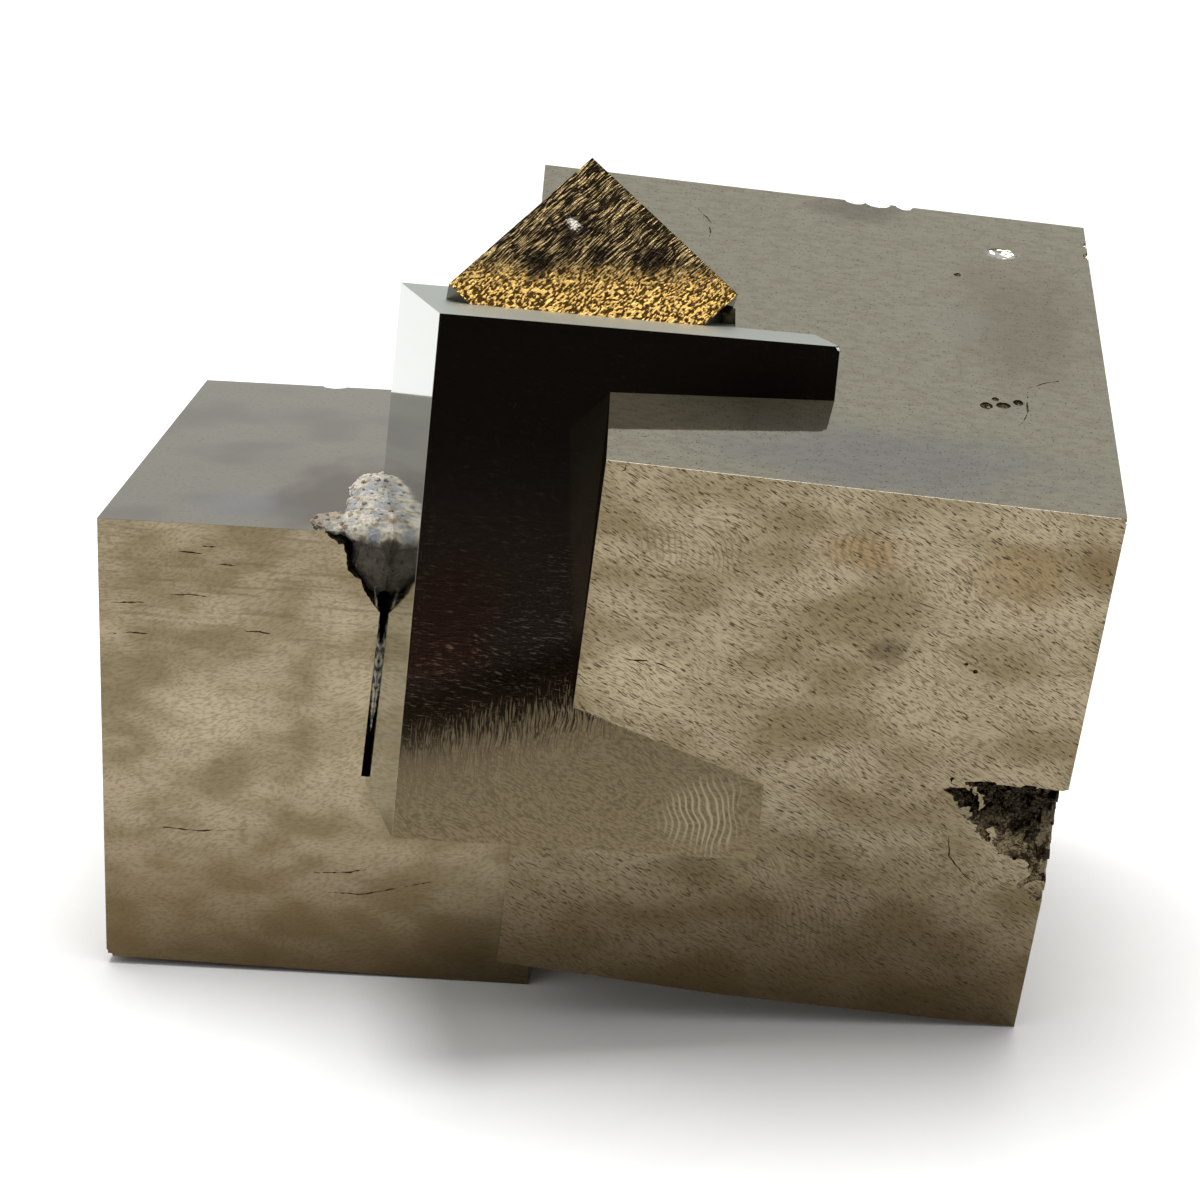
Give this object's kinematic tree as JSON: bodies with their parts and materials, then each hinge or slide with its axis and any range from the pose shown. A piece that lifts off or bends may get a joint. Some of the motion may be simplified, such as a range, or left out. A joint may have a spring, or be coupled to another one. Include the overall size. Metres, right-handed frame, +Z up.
{
  "type": "pyrite crystal specimen",
  "caption": "Cluster of intergrown cubic pyrite crystals with sharp edges, stepped faces, a fracture scar and a remnant of pale matrix; rests on a surface as a display specimen.",
  "frame": {"origin": "middle of the specimen's bounding box in plan, on the surface that it rests on", "axes": "+Z up, +X to the viewer's right, +Y away from the viewer who sees the broad faces"},
  "size_m": [0.0552, 0.0442, 0.0457],
  "materials": {
    "pyrite": "natural crystal faces with a metallic lustre: satin and faintly ribbed on the large cubes, mirror bright on the middle block, streaked gold on the small cube, dark and rough where broken",
    "matrix": "dull, crumbly, pale grey marl"
  },
  "bodies": {
    "root": {"pyrite_cluster": "pyrite", "matrix_remnant": "matrix"}
  },
  "joints": []
}
